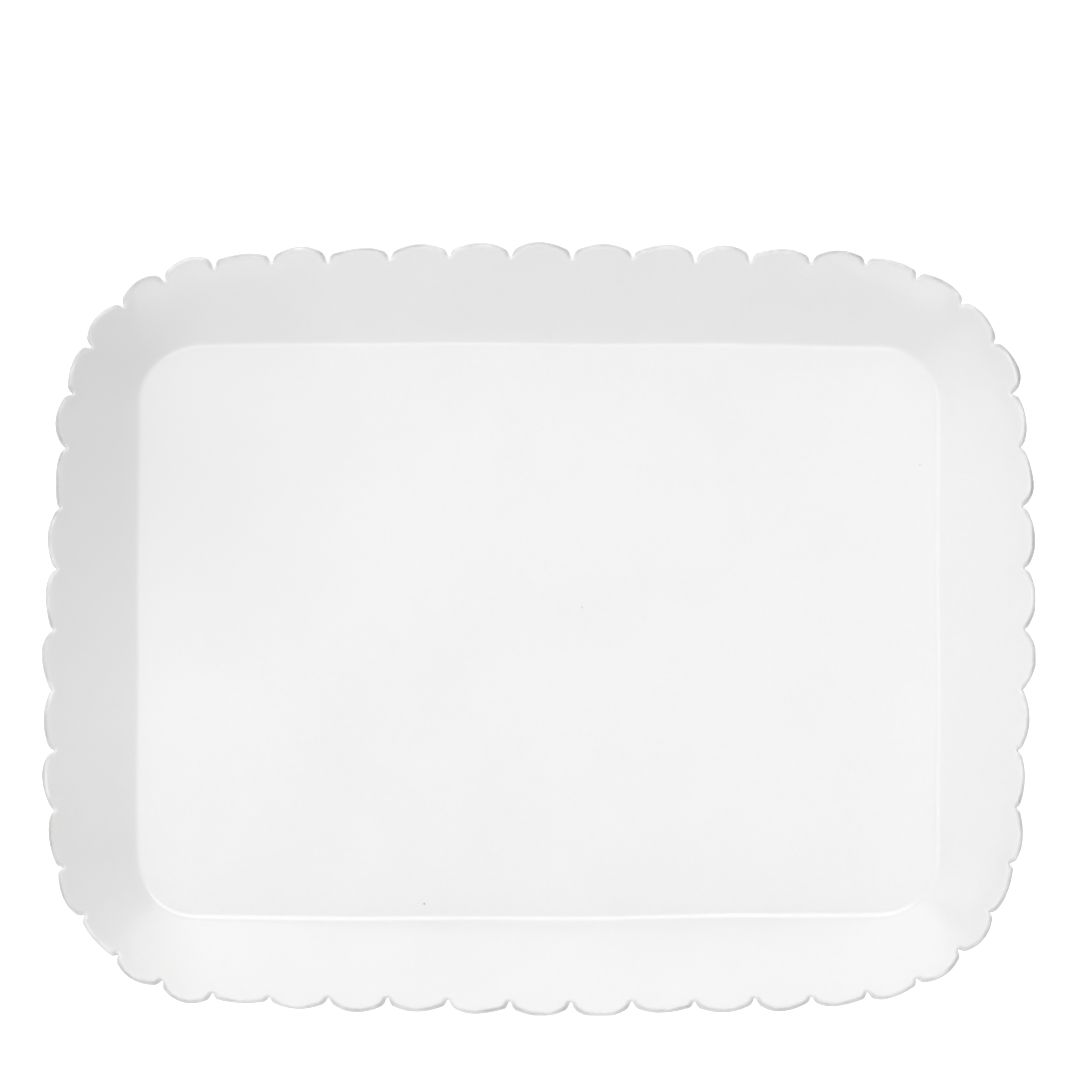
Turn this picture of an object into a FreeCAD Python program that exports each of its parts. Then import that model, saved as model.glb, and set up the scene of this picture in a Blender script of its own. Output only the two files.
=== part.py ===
"""Glazed china serving platter with a scalloped rim, built from its clay pieces and its coats of glaze.

Frame: the origin is on the table under the middle of the platter, +X along its length, +Z up. Millimetres.
Every level curve of the platter is a bowed rounded rectangle, a "ring" of eight arcs. A ring is named by
its place between the well's edge (place 0) and the outer edge of the rim (place 1).
"""
import FreeCAD
import Part
import math
import os

# Overall sizes of the glazed platter.
LENGTH = 410.0
WIDTH = 320.0
HEIGHT = 33.0

# The well: the flat sunken middle, measured at the top of the small step round it.
WELL_LENGTH = 332.0
WELL_WIDTH = 237.0
WELL_CORNER = 24.0
WELL_BOW = 16000.0         # radius of the well's nearly straight sides
WELL_STEP = 0.6            # height of the small step from the floor up to the rim
WELL_STEP_WIDTH = 1.5

# The outer outline through the tips of the lobes.
RIM_CORNER = 74.0
RIM_BOW_LONG = 1900.0      # radius of the two long sides
RIM_BOW_SHORT = 940.0      # radius of the two short sides

# The lobes of the scalloped edge.
LOBES = 54
CORNER_CROWDING = 0.13     # how much closer together the lobes stand in the corners
CROWDING_POWER = 4
NOTCH_DEPTH = 5.6
NOTCH_DEPTH_TILT = 0.6     # notches are this much deeper at the -X end, and shallower at the +X end
NOTCH_DEPTH_CORNER = 1.4   # notches are this much shallower in the corners
NOTCH_GAP = 1.2            # width of a notch at its bottom, in the glaze
LOBE_POWER = 2.5           # the lobe's outline is a superellipse of this power
LOBE_SHARES = (0.0, 0.05, 0.18, 0.5, 0.82, 0.95, 1.0)     # ends and middles of a lobe's three arcs

# Thicknesses.
GLAZE = 0.5
FLOOR_THICK = 5.5
RIM_THICK_ROOT = 5.8       # upright thickness of the rim slab, near the well and at the edge
RIM_THICK_EDGE = 5.0
RIM_START_SHARE = 0.82     # the rim starts at this share of its mean slope and steepens outward

# The foot ring.
FOOT_HEIGHT = 4.0
FOOT_OUTER = 2.0           # the foot's outer side stands this far outside the well's edge
FOOT_TOP_WIDTH = 10.0
FOOT_BASE_WIDTH = 6.5

# The seam where the rim slab is joined to the floor slab.
SEAM_OUTER = 4.0           # the seam lies this far outside the well's edge

# Levels and reaches that follow from the sizes above.
RIM_REACH = (LENGTH - WELL_LENGTH) / 2
FLOOR_TOP = FOOT_HEIGHT + FLOOR_THICK
RIM_FOOT_Z = FLOOR_TOP + WELL_STEP
RIM_RISE = HEIGHT - GLAZE - RIM_FOOT_Z
TRIM_LOW = -1.0            # the trimming prisms reach past the platter below and above
TRIM_HIGH = HEIGHT + 2.0
UPPER_PLACES = (0.0, 0.3, 0.6, 0.9, 1.12)
UNDER_PLACES = (0.3, 0.65, 1.0, 1.35)
FULL_TURN = 2 * math.pi


def between(inner, outer, place):
    """Value at a place between the well's edge (0) and the rim's edge (1)."""
    return inner + (outer - inner) * place


def place_of(offset):
    """Place of the ring that lies this many millimetres outside the well's edge."""
    return offset / RIM_REACH


def ring_at(place):
    """The eight arcs of a ring, each as (centre x, centre y, radius, start angle, sweep)."""
    half_length = between(WELL_LENGTH, LENGTH, place) / 2
    half_width = between(WELL_WIDTH, WIDTH, place) / 2
    corner = between(WELL_CORNER, RIM_CORNER, place)
    outward = max(place, 0.0)      # rings inside the well's edge keep the bow of the well
    bow_long = 1 / between(1 / WELL_BOW, 1 / RIM_BOW_LONG, outward)
    bow_short = 1 / between(1 / WELL_BOW, 1 / RIM_BOW_SHORT, outward)

    # The corner arc touches both side arcs, so its centre is a known distance from both of their centres.
    side_y = half_width - bow_long
    end_x = half_length - bow_short
    apart = math.hypot(end_x, side_y)
    from_side = bow_long - corner
    from_end = bow_short - corner
    along = (from_side ** 2 - from_end ** 2 + apart ** 2) / (2 * apart)
    aside = math.sqrt(from_side ** 2 - along ** 2)
    unit_x = end_x / apart
    unit_y = -side_y / apart
    corner_x = unit_x * along + unit_y * aside
    corner_y = side_y + unit_y * along - unit_x * aside
    end_half = math.atan2(corner_y, corner_x - end_x)
    side_half = math.atan2(corner_x, corner_y - side_y)
    bend = math.pi / 2 - side_half - end_half

    half = math.pi
    quarter = math.pi / 2
    return [
        (end_x, 0.0, bow_short, -end_half, 2 * end_half),
        (corner_x, corner_y, corner, end_half, bend),
        (0.0, side_y, bow_long, quarter - side_half, 2 * side_half),
        (-corner_x, corner_y, corner, quarter + side_half, bend),
        (-end_x, 0.0, bow_short, half - end_half, 2 * end_half),
        (-corner_x, -corner_y, corner, half + end_half, bend),
        (0.0, -side_y, bow_long, half + quarter - side_half, 2 * side_half),
        (corner_x, -corner_y, corner, half + quarter + side_half, bend),
    ]


def arc_point(arc, share, z):
    """Point at a share of the way along one arc of a ring."""
    centre_x, centre_y, radius, start, sweep = arc
    angle = start + sweep * share
    return FreeCAD.Vector(centre_x + radius * math.cos(angle), centre_y + radius * math.sin(angle), z)


def ring_wire(place, z):
    """Closed wire of a ring at height z."""
    edges = []
    for arc in ring_at(place):
        curve = Part.Arc(arc_point(arc, 0, z), arc_point(arc, 0.5, z), arc_point(arc, 1, z))
        edges.append(curve.toShape())
    return Part.Wire(edges)


def ring_stack(levels, ruled=False):
    """Solid through rings given as (place, z), from the lowest to the highest."""
    wires = [ring_wire(place, z) for place, z in levels]
    return Part.makeLoft(wires, True, ruled)


def ring_prism(place, low, high):
    """Upright prism over one ring."""
    face = Part.Face(ring_wire(place, low))
    return face.extrude(FreeCAD.Vector(0, 0, high - low))


def moved(shape, rise):
    """Copy of a shape, moved up by rise."""
    copy = shape.copy()
    copy.translate(FreeCAD.Vector(0, 0, rise))
    return copy


def ring_length(ring):
    """Length once round a ring."""
    return sum(radius * sweep for _, _, radius, _, sweep in ring)


def along_ring(ring, station, inward):
    """Point at a distance along a ring, moved inward square to it."""
    station %= ring_length(ring)
    for centre_x, centre_y, radius, start, sweep in ring:
        if station <= radius * sweep:
            break
        station -= radius * sweep
    angle = start + station / radius
    reach = radius - inward
    return centre_x + reach * math.cos(angle), centre_y + reach * math.sin(angle)


def corner_share(x, y):
    """0 at the middle of each side and 1 on the diagonals, rising steeply near the corners."""
    angle = math.atan2(y / WIDTH, x / LENGTH)
    return abs(math.sin(2 * angle)) ** CROWDING_POWER


def notch_stations(ring):
    """Distances along the ring at which the notches lie, closer together in the corners."""
    steps = 3600
    step = ring_length(ring) / steps
    counted = [0.0]
    for index in range(steps):
        x, y = along_ring(ring, (index + 0.5) * step, 0)
        counted.append(counted[-1] + 1 + CORNER_CROWDING * corner_share(x, y))
    stations = []
    index = 0
    for lobe in range(LOBES + 1):
        wanted = counted[-1] * lobe / LOBES
        while index < steps - 1 and counted[index + 1] < wanted:
            index += 1
        share = (wanted - counted[index]) / (counted[index + 1] - counted[index])
        stations.append((index + share) * step)
    return stations


def start_on_axis(ring):
    """Distance along the ring from its first point to the +X axis."""
    _, _, radius, start, _ = ring[0]
    return -start * radius


def notch_depth(x, y):
    """Depth of the notch at this side of the platter."""
    tilt = NOTCH_DEPTH_TILT * 2 * x / LENGTH
    return NOTCH_DEPTH - tilt - NOTCH_DEPTH_CORNER * corner_share(x, y)


def lobe_height(share):
    """0 at a lobe's two ends, 1 over its middle."""
    return (1 - abs(2 * share - 1) ** LOBE_POWER) ** (1 / LOBE_POWER)


def scallop_wire(inset, z):
    """The scalloped outline: each lobe is three arcs, and a short arc crosses each notch."""
    ring = ring_at(1.0)
    origin = start_on_axis(ring)
    stations = [origin + station for station in notch_stations(ring)]
    half_gap = NOTCH_GAP / 2 + inset

    def outline_point(station, height, depth):
        x, y = along_ring(ring, station, inset + depth * (1 - height))
        return FreeCAD.Vector(x, y, z)

    depths = [notch_depth(*along_ring(ring, station, 0)) for station in stations]
    depths[-1] = depths[0]
    points = []
    for lobe in range(LOBES):
        first = stations[lobe] + half_gap
        last = stations[lobe + 1] - half_gap
        for share in LOBE_SHARES:
            depth = between(depths[lobe], depths[lobe + 1], share)
            points.append(outline_point(between(first, last, share), lobe_height(share), depth))
        notch_floor = depths[lobe + 1] + NOTCH_GAP / 2
        points.append(outline_point(stations[lobe + 1], 0, notch_floor))
    points.append(points[0])

    edges = []
    for index in range(0, len(points) - 1, 2):
        edges.append(Part.Arc(*points[index:index + 3]).toShape())
    return Part.Wire(edges)


def scallop_prism(inset):
    """Upright prism over the scalloped outline, used to trim the rim."""
    face = Part.Face(scallop_wire(inset, TRIM_LOW))
    return face.extrude(FreeCAD.Vector(0, 0, TRIM_HIGH - TRIM_LOW))


def rim_top_z(place):
    """Height of the clay rim's upper surface: it starts gently and steepens outward."""
    return RIM_FOOT_Z + RIM_RISE * (RIM_START_SHARE * place + (1 - RIM_START_SHARE) * place ** 2)


def rim_under_z(place):
    """Height of the clay rim's underside."""
    return rim_top_z(place) - between(RIM_THICK_ROOT, RIM_THICK_EDGE, place)


def space_above():
    """The space over the clay: over the well's floor, its step and the rim."""
    step = ring_stack([(place_of(-WELL_STEP_WIDTH), FLOOR_TOP), (0.0, RIM_FOOT_Z)], ruled=True)
    bowl = ring_stack([(place, rim_top_z(place)) for place in UPPER_PLACES])
    return step.fuse(bowl)


def space_over_underside():
    """Everything over the clay's underside, outside the foot ring."""
    levels = [(place_of(FOOT_OUTER), FOOT_HEIGHT)]
    levels += [(place, rim_under_z(place)) for place in UNDER_PLACES]
    return ring_stack(levels)


def foot_space(offset_top, offset_base):
    """Solid inside one side of the foot ring, from the table to the floor slab."""
    return ring_stack([(place_of(offset_base), 0.0), (place_of(offset_top), FOOT_HEIGHT)], ruled=True)


def make_foot(outer, inner):
    """The coil luted under the well, with sides that narrow towards the table."""
    return outer.cut(inner)


def make_floor(body, inside_seam):
    """The floor slab inside the seam."""
    slab = ring_prism(place_of(SEAM_OUTER), FOOT_HEIGHT, FLOOR_TOP)
    return slab.common(body).common(inside_seam)


def make_rim(body, above, clay_trim, inside_seam):
    """The rim slab outside the seam, cut to the scalloped outline."""
    return body.cut(above).common(clay_trim).cut(inside_seam)


def make_seam_coil(above):
    """The coil pressed into the corner where the rim meets the floor slab: it forms the step."""
    over_floor = ring_prism(place_of(SEAM_OUTER), FLOOR_TOP, TRIM_HIGH)
    return over_floor.cut(above)


def make_face_glaze(body, above, clay_trim, glaze_trim):
    """The coat over the floor, step and rim, and over the scalloped edge."""
    coated = body.cut(moved(above, GLAZE)).common(glaze_trim)
    clay = moved(body, -FLOOR_THICK / 2).cut(above).common(clay_trim)
    return coated.cut(clay)


def make_back_glaze(body, glaze_trim, foot_outer):
    """The coat on the underside of the rim, from the foot ring to the edge."""
    return moved(body, -GLAZE).cut(body).common(glaze_trim).cut(foot_outer)


def make_base_glaze(foot_inner):
    """The coat on the underside of the floor slab, inside the foot ring."""
    layer = ring_prism(0.0, FOOT_HEIGHT - GLAZE, FOOT_HEIGHT)
    return layer.common(foot_inner)


def main():
    above = space_above()
    body = space_over_underside()
    clay_trim = scallop_prism(GLAZE)
    glaze_trim = scallop_prism(0.0)
    inside_seam = ring_prism(place_of(SEAM_OUTER), TRIM_LOW, TRIM_HIGH)
    foot_outer = foot_space(FOOT_OUTER, FOOT_OUTER - (FOOT_TOP_WIDTH - FOOT_BASE_WIDTH) / 2)
    foot_inner = foot_space(
        FOOT_OUTER - FOOT_TOP_WIDTH,
        FOOT_OUTER - (FOOT_TOP_WIDTH + FOOT_BASE_WIDTH) / 2,
    )
    nodes = {
        "well_floor": make_floor(body, inside_seam),
        "rim": make_rim(body, above, clay_trim, inside_seam),
        "seam_coil": make_seam_coil(above),
        "foot_ring": make_foot(foot_outer, foot_inner),
        "face_glaze": make_face_glaze(body, above, clay_trim, glaze_trim),
        "back_glaze": make_back_glaze(body, glaze_trim, foot_outer),
        "base_glaze": make_base_glaze(foot_inner),
    }
    os.makedirs("parts", exist_ok=True)
    for name, shape in nodes.items():
        solid = shape.Solids[0]
        print(name, "solids", len(shape.Solids), "valid", solid.isValid(), "volume", round(solid.Volume))
        solid.exportStep(f"parts/{name}.step")


main()
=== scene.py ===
"""Looks of the scalloped china platter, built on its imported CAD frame.

Shapes are worked out in millimetres with numpy and turn into metres where a mesh is made. Every level
curve is a "ring": a rounded rectangle with bowed sides, named by its place between the well's edge (0)
and the outer edge (1). The rim is a grid of columns, which run outward, and rows, which run round.
"""
import math

import bpy
import numpy as np
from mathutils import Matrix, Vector


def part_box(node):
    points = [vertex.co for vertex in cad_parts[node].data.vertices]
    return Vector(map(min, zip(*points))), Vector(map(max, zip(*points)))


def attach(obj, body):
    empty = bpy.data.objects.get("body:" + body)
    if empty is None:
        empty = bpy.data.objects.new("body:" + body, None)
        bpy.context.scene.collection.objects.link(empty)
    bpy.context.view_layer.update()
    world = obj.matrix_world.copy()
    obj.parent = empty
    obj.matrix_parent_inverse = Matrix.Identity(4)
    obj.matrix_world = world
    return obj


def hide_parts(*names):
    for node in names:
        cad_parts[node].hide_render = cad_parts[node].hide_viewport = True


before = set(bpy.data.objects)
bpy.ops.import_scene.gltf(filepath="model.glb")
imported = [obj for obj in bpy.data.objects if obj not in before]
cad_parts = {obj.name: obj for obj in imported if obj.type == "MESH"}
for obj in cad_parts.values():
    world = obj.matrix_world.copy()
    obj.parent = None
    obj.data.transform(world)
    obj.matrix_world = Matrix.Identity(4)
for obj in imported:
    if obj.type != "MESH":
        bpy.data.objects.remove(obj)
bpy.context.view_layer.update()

MM = 0.001


def node_box(node):
    """Lowest and highest corner of a CAD node, in millimetres."""
    low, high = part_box(node)
    return np.array(low) / MM, np.array(high) / MM


# Sizes taken from the frame.
GLAZE = 0.5
glaze_low, glaze_high = node_box("face_glaze")
_, seam_high = node_box("seam_coil")
_, foot_high = node_box("foot_ring")
HALF_LENGTH, HALF_WIDTH, HEIGHT = glaze_high
FLOOR_Z = glaze_low[2] + GLAZE
SEAM_OUTER = 4.0
WELL_HALF_LENGTH = seam_high[0] - SEAM_OUTER
WELL_HALF_WIDTH = seam_high[1] - SEAM_OUTER
REACH = HALF_LENGTH - WELL_HALF_LENGTH
FOOT_TOP = foot_high[2]
FOOT_OUTER = foot_high[0] - WELL_HALF_LENGTH

# Rings, as in the CAD model.
WELL_CORNER = 24.0
WELL_BOW = 16000.0
RIM_CORNER = 74.0
RIM_BOW_LONG = 1900.0
RIM_BOW_SHORT = 940.0

# The lobes: their spacing, and how the hand-cut notches and crests vary round the platter.
LOBES = 54
CORNER_CROWDING = 0.13     # lobes stand this much closer together in the corners
CROWDING_POWER = 4
TABLE_STEPS = 900          # steps in each quarter of the table that counts the lobes
SPACING_DRIFT = (-0.6, -0.9)
SPACING_SPREAD = 0.35
ARCH = 3.5                 # how far a lobe's outline falls back from its crest to its ends
ARCH_CORNER = 1.2          # lobes are this much flatter in the corners
ARCH_SPREAD = 0.3
SLOT = 0.5                 # a notch goes on this much deeper as a narrow slot
SLOT_LONG_SIDES = 1.3      # slots are this much deeper in the middle of the long sides
SLOT_SPREAD = 0.3
SLOT_LIMIT = 0.6           # no slot strays further than this from its usual depth
SLOT_FADE = 0.6
NOTCH_GAP = 0.9
CREST_INSET = 0.3
CREST_INSET_SPREAD = 0.7
CREST_INSET_LIMITS = (-1, 2)
LOBE_PEAK = 0.45           # where along a lobe its crest lies
LOBE_PEAK_SPREAD = 0.05
EVENING = 0.25             # share of the way that one pass of evening out moves a point

# The profile from the well's floor up the rim.
COVE_START = 1.05          # the cove starts this far inside the well's edge
COVE_RADIUS = 5.0
COVE_CORNER = 4.0          # the cove's radius is this much larger in the corners
START_SLOPE = 0.48
END_SLOPE = 0.69
TOE_RISE = 0.3             # along the long sides the floor rises this much towards the cove
TOE_WIDTH = 3.8
WELL_SHIFT = 0.45          # the well lies this far towards -X
WELL_LINE_SWAY = 0.4
WELL_SWAY_REACH = 12.0
RIM_SWAY = 0.35
RIPPLE = 0.03
RIPPLE_COUNT = 9
RIPPLE_LENGTH = 70.0
CURL = 0.25                # beside the notches the lobes curl up this much
CURL_REACH = 4.0

# How far the hand-cut outline strays outward from its ring: (waves to the turn, phase, size).
OUT_OF_TRUE = ((2, 0.0, 0.9), (4, 0.0, 0.7))

# The edge in section: an upright wall, rounded where it meets the rim's two faces.
EDGE_THICK = 5.4
EDGE_TURN = math.atan(END_SLOPE)
LIP_RADIUS = 1.3

# The rim grows thicker inward, and most of all above the foot.
WALL_GROWTH = 1.0
ROOT_GROWTH = 2.0
ROOT_PLACE = 0.05
ROOT_REACH = 0.12

# Mesh density.
PER_LOBE = 16
COLUMNS = LOBES * PER_LOBE
JOIN_PLACE = 0.6
EDGE_ROWS = (0.0, 0.08, 0.25, 0.55, 0.95, 1.4, 2.0, 2.8, 3.8, 5.0)
BLEND_ROWS = 5
COIL_TOE = -1.1            # the seam coil's inner end
RING_ROWS = (-2.2, -1.6, COIL_TOE, -0.7, -0.3, 0.1, 0.5, 0.9, 1.3, 1.8, 2.3, 3.0, SEAM_OUTER, 5.4, 7.2,
             9.2, 11.6, 14.0, 16.4, 18.8, 21.2)
FLOOR_ROWS = (-3.0, -4.2, -6.0, -8.5, -12.0)
UNDER_RING_ROWS = (21.0, 17.5, 14.0, 10.5, 7.5, 5.5, SEAM_OUTER, 3.2, 2.6)
UNDER_FINE = 5             # this many edge rows are repeated underneath, and then every second one
UNDER_ROWS_OF_FACE = 6     # this many rows under the edge belong to the coat of the face
CLAY_EDGE_ROW = 3          # the clay starts at this row from the outline
RING_SEARCH = 20           # columns searched each way for the nearest point of the outer ring
OUTLINE_SEARCH = 14        # columns searched each way for the nearest point of the outline

RANDOM_SEED = 54
rng = np.random.default_rng(RANDOM_SEED)


# ---------------------------------------------------------------- rings

def between(inner, outer, place):
    """Value at a place between the well's edge (0) and the rim's edge (1)."""
    return inner + (outer - inner) * place


def quarter_ring(place):
    """Centres, radii, starts and sweeps of the end, corner and side arcs in the quarter +X +Y."""
    place = np.asarray(place, float)
    outward = np.maximum(place, 0)
    half_length = between(WELL_HALF_LENGTH, HALF_LENGTH, place)
    half_width = between(WELL_HALF_WIDTH, HALF_WIDTH, place)
    corner = between(WELL_CORNER, RIM_CORNER, place)
    bow_side = 1 / between(1 / WELL_BOW, 1 / RIM_BOW_LONG, outward)
    bow_end = 1 / between(1 / WELL_BOW, 1 / RIM_BOW_SHORT, outward)
    side_y = half_width - bow_side
    end_x = half_length - bow_end
    apart = np.hypot(end_x, side_y)
    from_side = bow_side - corner
    from_end = bow_end - corner
    along = (from_side ** 2 - from_end ** 2 + apart ** 2) / (2 * apart)
    aside = np.sqrt(from_side ** 2 - along ** 2)
    corner_x = (end_x * along - side_y * aside) / apart
    corner_y = side_y - (side_y * along + end_x * aside) / apart
    end_half = np.arctan2(corner_y, corner_x - end_x)
    side_half = np.arctan2(corner_x, corner_y - side_y)
    bend = math.pi / 2 - side_half - end_half
    nothing = np.zeros_like(place)
    centre_x = np.stack([end_x, corner_x, nothing])
    centre_y = np.stack([nothing, corner_y, side_y])
    radius = np.stack([bow_end, corner, bow_side])
    start = np.stack([nothing, end_half, math.pi / 2 - side_half])
    sweep = np.stack([end_half, bend, side_half])
    return centre_x, centre_y, radius, start, sweep


_, _, outer_radius, _, outer_sweep = quarter_ring(1.0)
ARC_ENDS = np.cumsum(outer_radius * outer_sweep)
QUARTER = ARC_ENDS[-1]
ROUND = 4 * QUARTER


def directions(stations):
    """Where stations along the outer ring lie: their signs, their arc and their share of it."""
    turned = np.mod(stations, ROUND)
    quarter = np.minimum((turned / QUARTER).astype(int), 3)
    local = turned - quarter * QUARTER
    local = np.where(quarter % 2 == 1, QUARTER - local, local)
    arc = np.searchsorted(ARC_ENDS[:2], local)
    arc_start = np.concatenate([[0], ARC_ENDS[:2]])[arc]
    share = (local - arc_start) / (ARC_ENDS[arc] - arc_start)
    sign_x = np.where((quarter == 1) | (quarter == 2), -1.0, 1.0)
    sign_y = np.where(quarter >= 2, -1.0, 1.0)
    return sign_x, sign_y, arc, share


def ring_points(where, place):
    """Points, and outward normals, of a ring in the given directions."""
    sign_x, sign_y, arc, share = where
    arcs = quarter_ring(np.broadcast_to(place, arc.shape))
    centre_x, centre_y, radius, start, sweep = [values[arc, np.arange(len(arc))] for values in arcs]
    angle = start + sweep * share
    normal = np.stack([sign_x * np.cos(angle), sign_y * np.sin(angle)], 1)
    centre = np.stack([sign_x * centre_x, sign_y * centre_y], 1)
    return centre + radius[:, None] * normal, normal


def corner_share(points):
    """0 at the middle of each side and 1 on the diagonals, rising steeply near the corners."""
    angle = np.arctan2(points[:, 1] / HALF_WIDTH, points[:, 0] / HALF_LENGTH)
    return np.abs(np.sin(2 * angle)) ** CROWDING_POWER


def count_table():
    """Stations, and the number of lobes counted up to each: lobes crowd in the corners."""
    stations = np.linspace(0, ROUND, 4 * TABLE_STEPS + 1)
    middles = (stations[1:] + stations[:-1]) / 2
    points, _ = ring_points(directions(middles), 1.0)
    counted = np.concatenate([[0], np.cumsum(1 + CORNER_CROWDING * corner_share(points))])
    return stations, counted * LOBES / counted[-1]


TABLE_STATIONS, TABLE_COUNTS = count_table()


def station_of(count):
    """Station at which this many lobes have been passed."""
    laps = np.floor(count / LOBES)
    return np.interp(count - laps * LOBES, TABLE_COUNTS, TABLE_STATIONS) + laps * ROUND


# ---------------------------------------------------------------- the scalloped outline

def lobe_fall(share, peak):
    """Share of its arch by which a lobe's outline has fallen back, on each side of its peak."""
    reach = np.where(share < peak, (peak - share) / peak, (share - peak) / (1 - peak))
    return reach ** 2


def stray(points):
    """How far the outline strays outward near each point."""
    angle = np.arctan2(points[:, 1] / HALF_WIDTH, points[:, 0] / HALF_LENGTH)
    return sum(size * np.sin(count * angle + phase) for count, phase, size in OUT_OF_TRUE)


def scalloped_outline():
    """The outermost line of the edge: PER_LOBE points a lobe, the first at the bottom of its notch."""
    numbers = np.arange(LOBES)
    turn = 2 * math.pi * numbers / LOBES
    drift = SPACING_DRIFT[0] * np.cos(turn) + SPACING_DRIFT[1] * np.sin(turn)
    notches = station_of(numbers.astype(float)) + drift + rng.normal(0, SPACING_SPREAD, LOBES)
    notch_points, _ = ring_points(directions(notches), 1.0)
    arches = ARCH - ARCH_CORNER * corner_share(notch_points) + rng.normal(0, ARCH_SPREAD, LOBES)
    slots = SLOT + SLOT_LONG_SIDES * (notch_points[:, 1] / HALF_WIDTH) ** 2
    slots = slots + rng.normal(0, SLOT_SPREAD, LOBES).clip(-SLOT_LIMIT, SLOT_LIMIT)
    insets = rng.normal(CREST_INSET, CREST_INSET_SPREAD, LOBES).clip(*CREST_INSET_LIMITS)
    peaks = rng.normal(LOBE_PEAK, LOBE_PEAK_SPREAD, LOBES)

    spread = (1 - np.cos(math.pi * (np.arange(1, PER_LOBE) - 0.5) / (PER_LOBE - 1))) / 2
    stations = []
    inward = []
    for lobe in numbers:
        following = (lobe + 1) % LOBES
        pitch = notches[following] + (ROUND if following == 0 else 0) - notches[lobe]
        run = spread * (pitch - NOTCH_GAP)
        arch = between(arches[lobe], arches[following], spread)
        slot = slots[lobe] * np.exp(-(run / SLOT_FADE) ** 2)
        slot += slots[following] * np.exp(-(run[::-1] / SLOT_FADE) ** 2)
        stations += [notches[lobe]]
        inward += [arches[lobe] + slots[lobe] + NOTCH_GAP / 2]
        stations += list(notches[lobe] + NOTCH_GAP / 2 + run)
        inward += list(between(insets[lobe], arch, lobe_fall(spread, peaks[lobe])) + slot)
    points, normal = ring_points(directions(np.array(stations)), 1.0)
    outline = points + normal * (stray(points) - np.array(inward))[:, None]
    box = np.array([HALF_LENGTH, HALF_WIDTH])
    return outline.clip(-box, box)


def inward_normals(loop):
    """Normals of a closed loop of points, pointing into it."""
    along = np.roll(loop, -1, 0) - np.roll(loop, 1, 0)
    along /= np.linalg.norm(along, axis=1)[:, None]
    return np.stack([-along[:, 1], along[:, 0]], 1)


def relaxed(loop, passes):
    """The loop with its points evened out a little, but none of them moved outward."""
    for _ in range(passes):
        step = EVENING * (np.roll(loop, -1, 0) + np.roll(loop, 1, 0) - 2 * loop)
        inward = inward_normals(loop)
        outward_share = (step * inward).sum(1).clip(None, 0)
        loop = loop + step - outward_share[:, None] * inward
    return loop


def distance_to(loop, points, window):
    """Distance from each point to the loop, searched near the point of the same column."""
    nearest = np.full(len(points), np.inf)
    for shift in range(-window, window):
        start = np.roll(loop, -shift, 0)
        along = np.roll(loop, -shift - 1, 0) - start
        share = ((points - start) * along).sum(1) / (along ** 2).sum(1)
        closest = start + share.clip(0, 1)[:, None] * along
        nearest = np.minimum(nearest, np.linalg.norm(points - closest, axis=1))
    return nearest


# ---------------------------------------------------------------- heights

def waves(turn, counts, size):
    """Slow waves round the platter, so many to the turn."""
    total = np.zeros_like(turn)
    for count in counts:
        total += np.sin(2 * math.pi * (count * turn + rng.random()))
    return total * size / math.sqrt(len(counts))


def make_ripples(number, longest, size):
    """Directions, lengths and phases of the faint ripples that the maker's hands leave."""
    heading = rng.uniform(0, 2 * math.pi, number)
    length = longest * rng.uniform(0.25, 1, number)
    phase = rng.uniform(0, 2 * math.pi, number)
    return heading, length, phase, size / math.sqrt(number)


def ripples(points, kind):
    """Height of the ripples at the points."""
    total = np.zeros(points.shape[:-1])
    heading, length, phase, size = kind
    for angle, wave, lag in zip(heading, length, phase):
        run = points[..., 0] * math.cos(angle) + points[..., 1] * math.sin(angle)
        total += np.sin(2 * math.pi * run / wave + lag)
    return total * size


def profile(offset, radius, toe_rise):
    """Height over the well's floor at an offset outside the well's edge: a cove, and then the rim."""
    run = np.maximum(offset + COVE_START * radius / COVE_RADIUS, 0)
    cove = np.minimum(run, radius * START_SLOPE)
    beyond = run - cove
    rim = START_SLOPE * beyond + (END_SLOPE - START_SLOPE) * beyond ** 2 / (2 * REACH)
    toe = toe_rise * np.exp(-((offset + COVE_START) / TOE_WIDTH) ** 2)
    return cove ** 2 / (2 * radius) + rim + toe


def thickness(place):
    """Upright thickness of the glazed rim: it grows towards the foot."""
    root = ROOT_GROWTH * np.exp(-((place - ROOT_PLACE) / ROOT_REACH) ** 2)
    return EDGE_THICK + WALL_GROWTH * (1 - place) + root


def nose(distance, lean):
    """How far the rounded lip lies inside a face of the rim drawn on to the outline.

    Distance is measured from the outline, and lean is 1 for the upper face and -1 for the underside.
    """
    start = LIP_RADIUS * (1 + lean * math.sin(EDGE_TURN))
    left = np.minimum(distance, start)
    arc = np.sqrt(LIP_RADIUS ** 2 - (LIP_RADIUS - left) ** 2)
    return lean * END_SLOPE * (start - left) + LIP_RADIUS * math.cos(EDGE_TURN) - arc


# ---------------------------------------------------------------- the grid of the rim

DIRECTIONS = directions(station_of(np.arange(COLUMNS) / PER_LOBE))
TURN = np.arange(COLUMNS) / COLUMNS
OUTER_RING, _ = ring_points(DIRECTIONS, 1.0)
JOIN_RING, _ = ring_points(DIRECTIONS, JOIN_PLACE)
JOIN_WIDTH = distance_to(OUTER_RING, JOIN_RING, RING_SEARCH)
OUTLINE = scalloped_outline()
NOTCHES = OUTLINE[::PER_LOBE]
WELL_SWAY = waves(TURN, (2, 3, 5, 9, 14), WELL_LINE_SWAY) + WELL_SHIFT * np.cos(2 * math.pi * TURN)
EDGE_SWAY = waves(TURN, (2, 3, 4, 7), RIM_SWAY)
FACE_RIPPLES = make_ripples(RIPPLE_COUNT, RIPPLE_LENGTH, RIPPLE)
BASE_RIPPLES = make_ripples(RIPPLE_COUNT, RIPPLE_LENGTH, RIPPLE)


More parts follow.
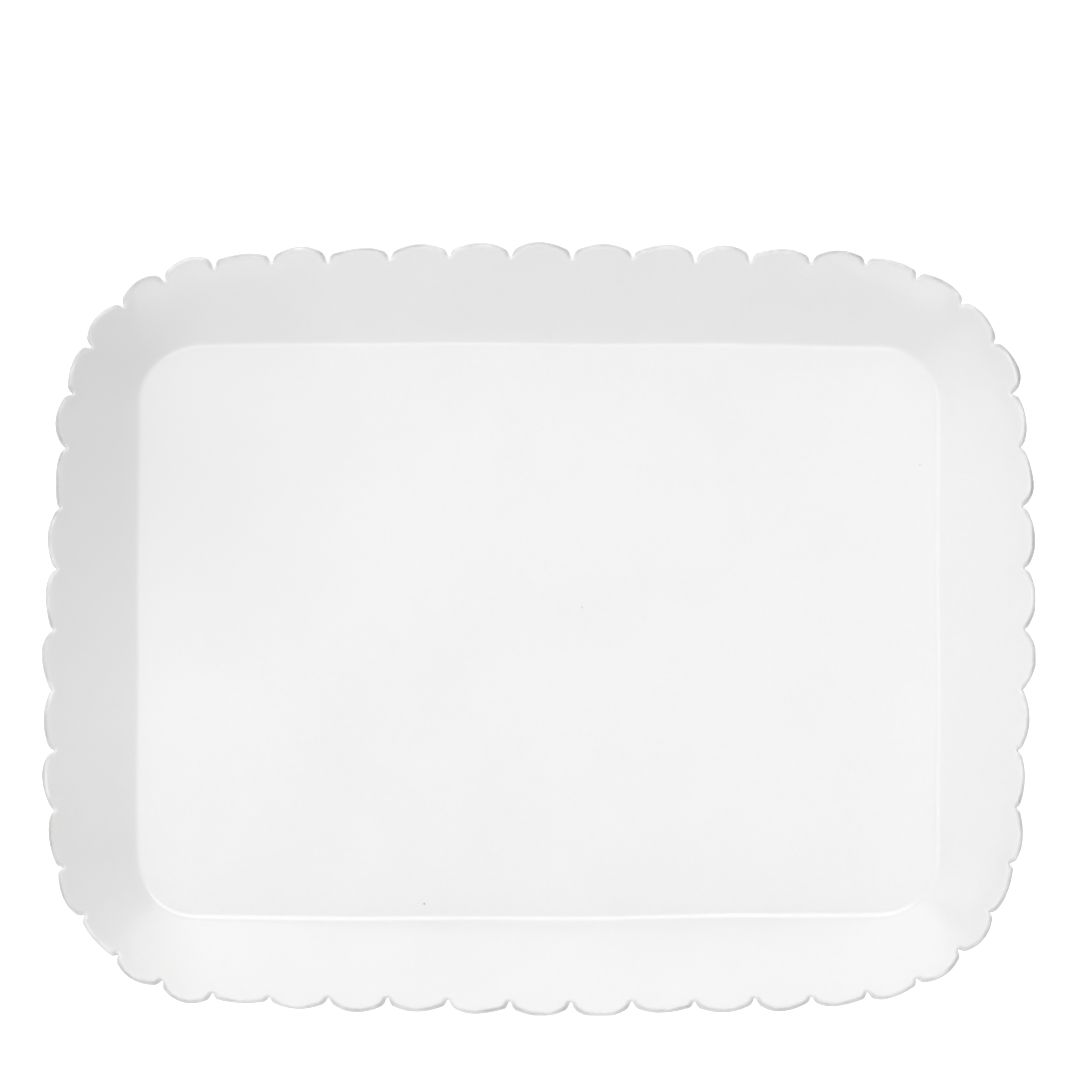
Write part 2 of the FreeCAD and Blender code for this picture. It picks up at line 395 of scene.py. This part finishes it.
class Row:
    """One row of points round the platter: its plan, its places and its distance to the outline."""

    def __init__(self, plan, place, distance):
        self.plan = plan
        self.place = place
        self.distance = distance

    def surface_z(self):
        """Height of the upper surface, before the edge rolls over."""
        near_well = np.exp(-(self.place * REACH / WELL_SWAY_REACH) ** 2)
        corner = corner_share(self.plan)
        radius = COVE_RADIUS + COVE_CORNER * corner
        toe_rise = TOE_RISE * (1 - corner) * (self.plan[:, 1] / WELL_HALF_WIDTH) ** 2
        height = profile(self.place * REACH + WELL_SWAY * near_well, radius, toe_rise)
        sway = EDGE_SWAY * self.place.clip(0, 1)
        curl = CURL * np.exp(-(self.notch_distance() / CURL_REACH) ** 2)
        return FLOOR_Z + height + sway + curl + ripples(self.plan, FACE_RIPPLES)

    def notch_distance(self):
        """Distance from each point to the bottom of the nearer notch beside its lobe."""
        first = np.arange(COLUMNS) // PER_LOBE
        nearest = np.full(COLUMNS, np.inf)
        for lobe in (first, (first + 1) % LOBES):
            nearest = np.minimum(nearest, np.linalg.norm(self.plan - NOTCHES[lobe], axis=1))
        return nearest

    def upper(self):
        """Points of the upper surface."""
        return np.column_stack([self.plan, self.surface_z() - nose(self.distance, 1)])

    def lower(self):
        """Points of the underside."""
        z = self.surface_z() - thickness(self.place) + nose(self.distance, -1)
        return np.column_stack([self.plan, z])


def ring_row(offset):
    """A row on the ring at an offset outside the well's edge."""
    place = np.full(COLUMNS, offset / REACH)
    plan, _ = ring_points(DIRECTIONS, place)
    return Row(plan, place, np.full(COLUMNS, np.inf))


def edge_rows():
    """Rows from the outline inward: first parallel to the lobes, then fading into a ring."""
    loops = [OUTLINE]
    for previous, offset in zip(EDGE_ROWS, EDGE_ROWS[1:]):
        loop = loops[-1] + (offset - previous) * inward_normals(loops[-1])
        loops.append(relaxed(loop, int(offset)))
    parallel = loops[-1]
    for step in range(1, BLEND_ROWS + 1):
        loops.append(between(parallel, JOIN_RING, step / BLEND_ROWS))
    rows = []
    for loop in loops:
        place = 1 - (1 - JOIN_PLACE) * distance_to(OUTER_RING, loop, RING_SEARCH) / JOIN_WIDTH
        rows.append(Row(loop, place, distance_to(OUTLINE, loop, OUTLINE_SEARCH)))
    return rows


def grid_normals(grid):
    """Outward normals of a grid of rows that close on themselves."""
    round_way = np.roll(grid, -1, 1) - np.roll(grid, 1, 1)
    row_way = np.gradient(grid, axis=0)
    normal = np.cross(row_way, round_way)
    return normal / np.linalg.norm(normal, axis=2)[:, :, None]


# ---------------------------------------------------------------- meshes

class Patchwork:
    """Collects points and faces, and makes one smooth mesh piece of them."""

    def __init__(self):
        self.points = []
        self.faces = []
        self.count = 0

    def add_points(self, points):
        """Adds points of any grid shape and returns their numbers in that shape."""
        flat = points.reshape(-1, 3)
        numbers = np.arange(self.count, self.count + len(flat)).reshape(points.shape[:-1])
        self.points.append(flat)
        self.count += len(flat)
        return numbers

    def add_strip(self, first, second):
        """Quads between two closed rows of the same length; first is the inner or upper one."""
        quads = np.stack([first, second, np.roll(second, -1), np.roll(first, -1)], 1)
        self.faces += quads.tolist()

    def add_rows(self, numbers):
        """Strips through all rows of a grid."""
        for first, second in zip(numbers, numbers[1:]):
            self.add_strip(first, second)

    def add_halving(self, coarse, fine):
        """Joins a row to one with twice the points outside it."""
        following = np.roll(coarse, -1)
        middle = fine[1::2]
        start = fine[0::2]
        end = np.roll(start, -1)
        for corners in ((coarse, start, middle), (coarse, middle, following), (following, middle, end)):
            self.faces += np.stack(corners, 1).tolist()

    def add_sheet(self, numbers):
        """Quads of an open grid whose rows run along +X and follow each other along +Y."""
        quads = np.stack([numbers[:-1, :-1], numbers[:-1, 1:], numbers[1:, 1:], numbers[1:, :-1]], 2)
        self.faces += quads.reshape(-1, 4).tolist()

    def flip(self):
        """Turns every face over."""
        self.faces = [face[::-1] for face in self.faces]

    def make(self, name, thin=None):
        """The mesh piece; thin is how much the clay shows through the glaze at each point."""
        mesh = bpy.data.meshes.new(name)
        mesh.from_pydata((np.concatenate(self.points) * MM).tolist(), [], self.faces)
        mesh.validate()
        mesh.shade_smooth()
        if thin is not None:
            attribute = mesh.attributes.new("thin", "FLOAT", "POINT")
            attribute.data.foreach_set("value", thin.astype(np.float32))
        piece = bpy.data.objects.new(name, mesh)
        bpy.context.scene.collection.objects.link(piece)
        return piece


def corner_columns(columns):
    """Numbers of the columns nearest the four diagonals, from the +X +Y corner on."""
    diagonal = (ARC_ENDS[0] + ARC_ENDS[1]) / 2
    first = int(round(np.interp(diagonal, TABLE_STATIONS, TABLE_COUNTS) * columns / LOBES))
    half = columns // 2
    return first, half - first, half + first, columns - first


def sheet_in(loop):
    """Grid of plan points that fills a closed loop, between its four corners."""
    first, second, third, fourth = corner_columns(len(loop))
    top = loop[first:second + 1][::-1]
    left = loop[second:third + 1][::-1]
    bottom = loop[third:fourth + 1]
    right = np.concatenate([loop[fourth:], loop[:first + 1]])
    across = np.linspace(0, 1, len(top))[None, :, None]
    up = np.linspace(0, 1, len(left))[:, None, None]
    sheet = between(bottom[None], top[None], up) + between(left[:, None], right[:, None], across)
    corners = between(between(bottom[0], bottom[-1], across), between(top[0], top[-1], across), up)
    return sheet - corners


def sheet_loop(numbers):
    """Numbers of the sheet's outer points, in the order of the loop that it fills."""
    first, _, _, _ = corner_columns(2 * (sum(numbers.shape) - 2))
    right = numbers[:, -1]
    top = numbers[-1, ::-1]
    left = numbers[::-1, 0]
    bottom = numbers[0]
    loop = np.concatenate([right[:-1], top[:-1], left[:-1], bottom[:-1]])
    return np.roll(loop, -(len(right) - 1 - first))


def glaze_coat(name, patches, thin, slot, *nodes):
    """Piece for one area of the glaze: its surface, given a thickness inward."""
    piece = patches.make(name, thin)
    coat = piece.modifiers.new("coat", "SOLIDIFY")
    coat.thickness = GLAZE * MM
    coat.offset = -1
    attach(piece, "root")
    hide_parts(*nodes)
    return piece


def make_rim_grid():
    """All rows of the rim as one array, how many of them are upper rows, and their edge distances."""
    edge = edge_rows()
    upper_rows = [ring_row(offset) for offset in RING_ROWS] + edge[::-1]
    lower_rows = edge[:UNDER_FINE] + edge[UNDER_FINE + 1::2]
    lower_rows += [ring_row(offset) for offset in UNDER_RING_ROWS]
    grid = [row.upper() for row in upper_rows] + [row.lower() for row in lower_rows]
    distances = [row.distance for row in upper_rows + lower_rows]
    return np.array(grid), len(upper_rows), np.array(distances)


def fit_height(grid):
    """Stretches what stands above the floor so that the highest point has the CAD model's height."""
    rise = (HEIGHT - FLOOR_Z) / (grid[:, :, 2].max() - FLOOR_Z)
    above = grid[:, :, 2] > FLOOR_Z
    grid[:, :, 2] = np.where(above, FLOOR_Z + (grid[:, :, 2] - FLOOR_Z) * rise, grid[:, :, 2])
    return grid


# The line of thin glaze along the crest of the lobes.
THIN_PLACE = 0.8 * LIP_RADIUS
THIN_WIDTH = 0.5
THIN_END_COLUMNS = 3       # it fades out over this many columns beside a notch


def thin_glaze(distances):
    """1 along the crest of the lobes, where the glaze runs thin; 0 elsewhere and in the notches."""
    crest = np.exp(-((distances - THIN_PLACE) / THIN_WIDTH) ** 2)
    column = np.arange(COLUMNS) % PER_LOBE
    from_notch = np.minimum(column, PER_LOBE - column)
    return crest * (from_notch / THIN_END_COLUMNS).clip(0, 1)


# ---------------------------------------------------------------- materials

class Shader:
    """A node material with one Principled shader, and short ways to add nodes to it."""

    def __init__(self, name):
        self.material = bpy.data.materials.new(name)
        self.material.use_nodes = True
        self.tree = self.material.node_tree
        self.surface = self.tree.nodes["Principled BSDF"]
        self.place = self.add("ShaderNodeTexCoord").outputs["Object"]

    def add(self, kind, **settings):
        """A node, with attributes set by name."""
        node = self.tree.nodes.new(kind)
        for key, value in settings.items():
            setattr(node, key, value)
        return node

    def feed(self, socket, value):
        """Links an output to a socket, or sets the socket's own value."""
        if isinstance(value, bpy.types.NodeSocket):
            self.tree.links.new(value, socket)
        else:
            socket.default_value = value

    def noise(self, size, detail=2.0, roughness=0.5):
        """Noise whose features are about this many millimetres across."""
        node = self.add("ShaderNodeTexNoise")
        self.feed(node.inputs["Vector"], self.place)
        node.inputs["Scale"].default_value = 1 / (size * MM)
        node.inputs["Detail"].default_value = detail
        node.inputs["Roughness"].default_value = roughness
        return node.outputs["Fac"]

    def mapped(self, value, low, high, to_low=0.0, to_high=1.0):
        """The value, stretched from one range to another and kept inside it."""
        node = self.add("ShaderNodeMapRange")
        self.feed(node.inputs["Value"], value)
        node.inputs["From Min"].default_value = low
        node.inputs["From Max"].default_value = high
        node.inputs["To Min"].default_value = to_low
        node.inputs["To Max"].default_value = to_high
        return node.outputs["Result"]

    def maths(self, operation, first, second):
        """One sum of two values."""
        node = self.add("ShaderNodeMath", operation=operation)
        self.feed(node.inputs[0], first)
        self.feed(node.inputs[1], second)
        return node.outputs[0]

    def mixed(self, share, first, second):
        """A colour between two colours; the node's colour sockets share their names with others."""
        node = self.add("ShaderNodeMix", data_type="RGBA")
        self.feed(node.inputs["Factor"], share)
        self.feed(node.inputs[6], first)
        self.feed(node.inputs[7], second)
        return node.outputs[2]

    def specks(self, cell, radius, rarity):
        """1 inside rare round specks: only the share of cells above rarity holds one."""
        node = self.add("ShaderNodeTexVoronoi", voronoi_dimensions="2D")
        self.feed(node.inputs["Vector"], self.place)
        node.inputs["Scale"].default_value = 1 / (cell * MM)
        chance = self.add("ShaderNodeSeparateColor")
        self.feed(chance.inputs[0], node.outputs["Color"])
        chosen = self.maths("GREATER_THAN", chance.outputs[0], rarity)
        core = SPECK_CORE * radius / cell
        round_spot = self.mapped(node.outputs["Distance"], core, radius / cell, 1.0, 0.0)
        return self.maths("MULTIPLY", chosen, round_spot)

    def spot(self, across, up, radius, strength):
        """A round spot on the well's floor that fades outward."""
        node = self.add("ShaderNodeVectorMath", operation="DISTANCE")
        self.feed(node.inputs[0], self.place)
        node.inputs[1].default_value = (across * MM, up * MM, FLOOR_Z * MM)
        return self.mapped(node.outputs["Value"], 0, radius * MM, strength, 0.0)

    def bumps(self, *layers):
        """Bump from (height, strength, depth in millimetres) layers, the coarsest first."""
        normal = None
        for height, strength, depth in layers:
            node = self.add("ShaderNodeBump")
            node.inputs["Strength"].default_value = strength
            node.inputs["Distance"].default_value = depth * MM
            self.feed(node.inputs["Height"], height)
            if normal is not None:
                self.feed(node.inputs["Normal"], normal)
            normal = node.outputs["Normal"]
        self.feed(self.surface.inputs["Normal"], normal)


GLAZE_WHITE = (0.885, 0.885, 0.882, 1)
GLAZE_SHADE = (0.870, 0.870, 0.868, 1)
GLAZE_SPECK = (0.855, 0.855, 0.852, 1)
# The next grey is painted shade, used round the -X +Y corner in place of the light falling off there.
PAINTED_SHADE_GREY = (0.785, 0.785, 0.783, 1)
THIN_GREY = (0.33, 0.325, 0.315, 1)
PINHOLE = (0.12, 0.115, 0.11, 1)
CLAY_LIGHT = (0.50, 0.475, 0.44, 1)
CLAY_DARK = (0.38, 0.355, 0.325, 1)
GLAZE_ROUGHNESS = (0.14, 0.21)
THIN_ROUGHNESS = 0.3       # added where the glaze is thin
CLAY_ROUGHNESS = 0.85
SPECK_CORE = 0.6           # share of a speck's radius that is full dark

# How strongly the clay shows through thin glaze, and the share of cells without a pinhole.
FACE_THIN = 0.75
BACK_THIN = 0.6
FACE_RARITY = 0.999
BACK_RARITY = 0.985
PINHOLE_CELL = 13
PINHOLE_RADIUS = 0.5

# Height of the glaze line on a clay piece, how far it wavers, and how soft it is.
FOOT_GLAZE_LINE = 1.3
NO_GLAZE_LINE = 100.0      # above the whole platter
GLAZE_LINE_WAVER = 0.5
GLAZE_LINE_SOFT = 0.15

# Small pits in the glaze of the well: across, up, and how dark each one is.
PITS = ((-47.4, -113.5, 0.9), (18.0, 9.5, 0.3), (158.5, 69.0, 0.3))
PIT_RADIUS = 0.6
# Painted shade: a grey patch mixed into the glaze colour round the -X +Y corner, standing in for the
# light falling off there: across, up, radius and strength.
PAINTED_SHADE_SPOT = (-180.0, 75.0, 115.0, 1.0)


def glaze_material(name, thin_strength, pits, rarity):
    """Glossy white glaze: cloudy, dimpled, greyish where it runs thin, with a few pinholes, and with
    painted shade round the -X +Y corner.
    """
    shader = Shader(name)
    cloud_share = shader.mapped(shader.noise(60, detail=4.0, roughness=0.6), 0.35, 0.65)
    speckle_share = shader.mapped(shader.noise(1.5, detail=3.0, roughness=0.7), 0.3, 0.7)
    colour = shader.mixed(cloud_share, GLAZE_SHADE, GLAZE_WHITE)
    speckled = shader.mixed(cloud_share, GLAZE_SPECK, GLAZE_SHADE)
    colour = shader.mixed(speckle_share, speckled, colour)
    # Painted shade: the glaze colour is greyed round the -X +Y corner, standing in for the light falling
    # off there.
    colour = shader.mixed(shader.spot(*PAINTED_SHADE_SPOT), colour, PAINTED_SHADE_GREY)

    attribute = shader.add("ShaderNodeAttribute", attribute_name="thin")
    patches = shader.mapped(shader.noise(16, detail=3.0, roughness=0.6), 0.35, 0.62, 0.05, 1.0)
    grain = shader.mapped(shader.noise(1.6), 0.3, 0.7, 0.8, 1.0)
    thin = shader.maths("MULTIPLY", attribute.outputs["Fac"], shader.maths("MULTIPLY", patches, grain))
    thin = shader.maths("MULTIPLY", thin, thin_strength)
    colour = shader.mixed(thin, colour, THIN_GREY)

    pinholes = shader.specks(PINHOLE_CELL, PINHOLE_RADIUS, rarity)
    for across, up, darkness in pits:
        pinholes = shader.maths("MAXIMUM", pinholes, shader.spot(across, up, PIT_RADIUS, darkness))
    colour = shader.mixed(pinholes, colour, PINHOLE)
    shader.feed(shader.surface.inputs["Base Color"], colour)

    roughness = shader.mapped(shader.noise(25, detail=3.0), 0.3, 0.7, *GLAZE_ROUGHNESS)
    roughness = shader.maths("ADD", roughness, shader.maths("MULTIPLY", thin, THIN_ROUGHNESS))
    shader.feed(shader.surface.inputs["Roughness"], roughness)
    swells = shader.noise(12)
    dimples = shader.noise(3.5)
    hollow = shader.maths("SUBTRACT", 1.0, pinholes)
    shader.bumps((swells, 0.10, 0.25), (dimples, 0.12, 0.08), (hollow, 0.6, 0.2))
    return shader.material


def clay_material(name, glazed_above):
    """Fired clay, gritty and matt; the glaze covers it above a ragged line at this height."""
    shader = Shader(name)
    tone = shader.mapped(shader.noise(6, detail=4.0, roughness=0.65), 0.3, 0.7)
    colour = shader.mixed(tone, CLAY_DARK, CLAY_LIGHT)
    grit = shader.specks(2.2, 0.35, 0.8)
    colour = shader.mixed(grit, colour, PINHOLE)

    height = shader.add("ShaderNodeSeparateXYZ")
    shader.feed(height.inputs[0], shader.place)
    waver = GLAZE_LINE_WAVER * MM
    ragged = shader.mapped(shader.noise(9, detail=3.0), 0.3, 0.7, -waver, waver)
    level = shader.maths("ADD", height.outputs["Z"], ragged)
    glazed = shader.mapped(level, glazed_above * MM, (glazed_above + GLAZE_LINE_SOFT) * MM)
    colour = shader.mixed(glazed, colour, GLAZE_WHITE)
    shader.feed(shader.surface.inputs["Base Color"], colour)
    roughness = shader.mapped(glazed, 0, 1, CLAY_ROUGHNESS, GLAZE_ROUGHNESS[0])
    shader.feed(shader.surface.inputs["Roughness"], roughness)
    bare = shader.maths("SUBTRACT", 1.0, glazed)
    rough_grain = shader.maths("MULTIPLY", shader.noise(0.8, detail=3.0), bare)
    shader.bumps((rough_grain, 0.5, 0.15))
    return shader.material


# ---------------------------------------------------------------- pieces

def make_face(grid, upper_count, distances, material):
    """The glaze of the well, rim and edge, down to just under the edge."""
    patches = Patchwork()
    count = upper_count + UNDER_ROWS_OF_FACE
    rim = patches.add_points(grid[:count])
    floor_rows = [ring_row(offset).upper()[::2] for offset in FLOOR_ROWS]
    floor = patches.add_points(np.array(floor_rows[:-1]))
    plan = sheet_in(floor_rows[-1][:, :2])
    z = FLOOR_Z + ripples(plan, FACE_RIPPLES)
    sheet = patches.add_points(np.dstack([plan, z]))
    patches.add_sheet(sheet)
    patches.add_strip(sheet_loop(sheet), floor[-1])
    patches.add_rows(floor[::-1])
    patches.add_halving(floor[0], rim[0])
    patches.add_rows(rim)
    thin = np.zeros(patches.count)
    thin[:rim.size] = thin_glaze(distances[:count]).ravel()
    piece = glaze_coat("glaze_face", patches, thin, "face_glaze", "face_glaze")
    piece.data.materials.append(material)


# The back's glaze ends this far inside the foot's outer side, and this far below the foot's top.
BACK_INSET = 0.1
BACK_DROP = 1.6


def make_back(grid, upper_count, distances, material):
    """The glaze of the rim's underside, from just under the edge to the foot ring."""
    patches = Patchwork()
    start = upper_count + UNDER_ROWS_OF_FACE - 1
    rim = patches.add_points(grid[start:])
    end = ring_row(FOOT_OUTER - BACK_INSET)
    low = np.column_stack([end.plan, np.full(COLUMNS, FOOT_TOP - BACK_DROP)])
    last = patches.add_points(low)
    patches.add_rows(rim)
    patches.add_strip(rim[-1], last)
    thin = np.zeros(patches.count)
    thin[:rim.size] = thin_glaze(distances[start:]).ravel()
    piece = glaze_coat("glaze_back", patches, thin, "back_glaze", "back_glaze")
    piece.data.materials.append(material)


# The foot ring in section, as (offset outside the well's edge, height), going round it.
FOOT_SECTION = (
    (2.0, 4.6), (1.6, 3.0), (1.0, 1.5), (0.7, 0.7), (0.35, 0.2), (-0.15, 0.0), (-5.4, 0.0), (-5.9, 0.2),
    (-6.25, 0.7), (-6.55, 1.5), (-7.3, 3.0), (-8.0, 4.6), (-3.0, 4.8),
)


def make_foot_piece(material):
    """The foot ring, rounded where it meets the table."""
    patches = Patchwork()
    rows = []
    for offset, height in FOOT_SECTION:
        plan = ring_row(offset).plan[::2]
        rows.append(np.column_stack([plan, np.full(len(plan), height)]))
    numbers = patches.add_points(np.array(rows))
    patches.add_rows(numbers)
    patches.add_strip(numbers[-1], numbers[0])
    piece = patches.make("clay_foot")
    piece.data.materials.append(material)
    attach(piece, "root")
    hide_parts("foot_ring")


# The glaze beside the foot's inner side, as (offset outside the well's edge, height).
BASE_FILLET = ((-7.3, 2.8), (-7.9, 3.2), (-8.9, 3.45))
BASE_EDGE = -10.5


def make_base(material):
    """The glaze under the floor, inside the foot ring."""
    patches = Patchwork()
    rows = []
    for offset, height in BASE_FILLET:
        plan = ring_row(offset).plan[::2]
        rows.append(np.column_stack([plan, np.full(len(plan), height)]))
    fillet = patches.add_points(np.array(rows))
    plan = sheet_in(ring_row(BASE_EDGE).plan[::2])
    z = FOOT_TOP - GLAZE + ripples(plan, BASE_RIPPLES)
    sheet = patches.add_points(np.dstack([plan, z]))
    patches.add_sheet(sheet)
    patches.add_strip(sheet_loop(sheet), fillet[-1])
    patches.add_rows(fillet[::-1])
    patches.flip()
    piece = glaze_coat("glaze_base", patches, np.zeros(patches.count), "back_glaze", "base_glaze")
    piece.data.materials.append(material)


def make_clay(grid, upper_count, material):
    """The clay under the glaze: the rim slab, and the coil in the corner where it meets the floor."""
    inner = grid - GLAZE * grid_normals(grid)
    seam = RING_ROWS.index(SEAM_OUTER)
    under_seam = len(grid) - len(UNDER_RING_ROWS) + UNDER_RING_ROWS.index(SEAM_OUTER)

    slab = Patchwork()
    first_edge = upper_count - CLAY_EDGE_ROW
    upper = inner[seam:first_edge]
    lower = inner[upper_count + CLAY_EDGE_ROW:under_seam + 1]
    rows = slab.add_points(np.concatenate([upper, lower]))
    slab.add_rows(rows)
    slab.add_strip(rows[-1], rows[0])
    slab_piece = slab.make("clay_rim")

    coil = Patchwork()
    toe = RING_ROWS.index(COIL_TOE)
    bottom = inner[[seam, toe]].copy()
    bottom[:, :, 2] = FLOOR_Z - 2 * GLAZE
    rows = coil.add_points(np.concatenate([inner[toe:seam + 1], bottom]))
    coil.add_rows(rows)
    coil.add_strip(rows[-1], rows[0])
    coil_piece = coil.make("clay_seam")

    for piece, node in ((slab_piece, "rim"), (coil_piece, "seam_coil")):
        piece.data.materials.append(material)
        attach(piece, "root")
        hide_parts(node)
    for material_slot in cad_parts["well_floor"].material_slots:
        material_slot.material = material


# ---------------------------------------------------------------- studio

# The floor of the studio; sizes in metres.
STAGE_SIZE = 12
STAGE_DROP = 0.0002
STAGE_GREY = (0.65, 0.65, 0.65, 1)
WHITE = (1, 1, 1, 1)


def make_stage():
    """A plain pale floor just under the foot, seen as white by the camera."""
    bpy.ops.mesh.primitive_plane_add(size=STAGE_SIZE, location=(0, 0, -STAGE_DROP))
    floor = bpy.context.object
    floor.name = "studio_floor"
    material = bpy.data.materials.new("studio_white")
    material.use_nodes = True
    surface = material.node_tree.nodes["Principled BSDF"]
    surface.inputs["Base Color"].default_value = STAGE_GREY
    surface.inputs["Roughness"].default_value = 0.9
    surface.inputs["Specular IOR Level"].default_value = 0.0
    surface.inputs["Emission Color"].default_value = WHITE
    ray = material.node_tree.nodes.new("ShaderNodeLightPath")
    material.node_tree.links.new(ray.outputs["Is Camera Ray"], surface.inputs["Emission Strength"])
    floor.data.materials.append(material)


def make_world(strength):
    """Even light from all round, seen as plain white behind the platter."""
    world = bpy.data.worlds.new("studio")
    world.use_nodes = True
    tree = world.node_tree
    background = tree.nodes["Background"]
    ray = tree.nodes.new("ShaderNodeLightPath")
    level = tree.nodes.new("ShaderNodeMapRange")
    level.inputs["To Min"].default_value = strength
    level.inputs["To Max"].default_value = 1.0
    tree.links.new(ray.outputs["Is Camera Ray"], level.inputs["Value"])
    tree.links.new(level.outputs["Result"], background.inputs["Strength"])
    background.inputs["Color"].default_value = WHITE
    bpy.context.scene.world = world


def make_softbox(name, heading, lean, distance, width, height, radiance):
    """A soft light that looks at the platter; its width runs along X and its height along Y.

    Heading is where it stands, in degrees from +X towards +Y, and lean is its angle from straight above.
    """
    light = bpy.data.lights.new(name, "AREA")
    light.shape = "RECTANGLE"
    light.size = width
    light.size_y = height
    light.energy = math.pi * width * height * radiance
    lamp = bpy.data.objects.new(name, light)
    turn = math.radians(heading)
    tilt = math.radians(lean)
    toward = Vector((math.sin(tilt) * math.cos(turn), math.sin(tilt) * math.sin(turn), math.cos(tilt)))
    lamp.location = distance * toward
    lamp.rotation_euler = (-math.asin(toward.y), math.atan2(toward.x, toward.z), 0)
    bpy.context.scene.collection.objects.link(lamp)


def make_camera(aim, distance, elevation, field):
    """A long lens from nearly straight above, leaning a little towards the front edge."""
    camera = bpy.data.cameras.new("camera")
    camera.sensor_width = SENSOR_WIDTH
    camera.lens = SENSOR_WIDTH * distance / field
    eye = bpy.data.objects.new("camera", camera)
    lean = math.radians(elevation)
    eye.location = Vector(aim) + distance * Vector((0, -math.cos(lean), math.sin(lean)))
    eye.rotation_euler = (math.pi / 2 - lean, 0, 0)
    bpy.context.scene.collection.objects.link(eye)
    bpy.context.scene.camera = eye


# Camera: the field's width in metres at its aim, and its elevation in degrees.
CAMERA_AIM = (0.0005, 0.0364, 0.025)
CAMERA_DISTANCE = 3.0
CAMERA_ELEVATION = 85.5
FIELD_WIDTH = 0.4466
SENSOR_WIDTH = 36

# Lights: heading and lean in degrees; distance, width and height in metres; radiance.
SOFTBOXES = {
    "softbox_top": (90, 5, 8.0, 5.0, 5.0, 0.7),
    "softbox_corner": (-40, 20, 8.5, 5.5, 5.5, 0.75),
    "softbox_back": (72, 30, 8.0, 6.0, 3.4, 3.4),
    "softbox_left": (180, 30, 8.0, 3.2, 3.2, 1.3),
    "softbox_front": (-90, 20, 8.0, 3.2, 2.6, 1.7),
    "panel_left": (180, 42, 4.0, 4.0, 6.0, 0.8),
    "panel_back": (90, 65, 4.0, 6.0, 2.0, 1.3),
    "panel_front": (-90, 75, 4.0, 6.0, 2.0, 1.5),
}
WORLD_STRENGTH = 0.12

make_camera(CAMERA_AIM, CAMERA_DISTANCE, CAMERA_ELEVATION, FIELD_WIDTH)
for softbox, setting in SOFTBOXES.items():
    make_softbox(softbox, *setting)
make_world(WORLD_STRENGTH)
make_stage()

rim_grid, upper_rows, edge_distances = make_rim_grid()
rim_grid = fit_height(rim_grid)
face_material = glaze_material("white_glaze_face", FACE_THIN, PITS, FACE_RARITY)
back_material = glaze_material("white_glaze_back", BACK_THIN, (), BACK_RARITY)
clay = clay_material("fired_clay", NO_GLAZE_LINE)
foot_clay = clay_material("foot_clay", FOOT_GLAZE_LINE)
make_face(rim_grid, upper_rows, edge_distances, face_material)
make_back(rim_grid, upper_rows, edge_distances, back_material)
make_base(back_material)
make_foot_piece(foot_clay)
make_clay(rim_grid, upper_rows, clay)

bpy.context.scene.view_settings.view_transform = "Standard"
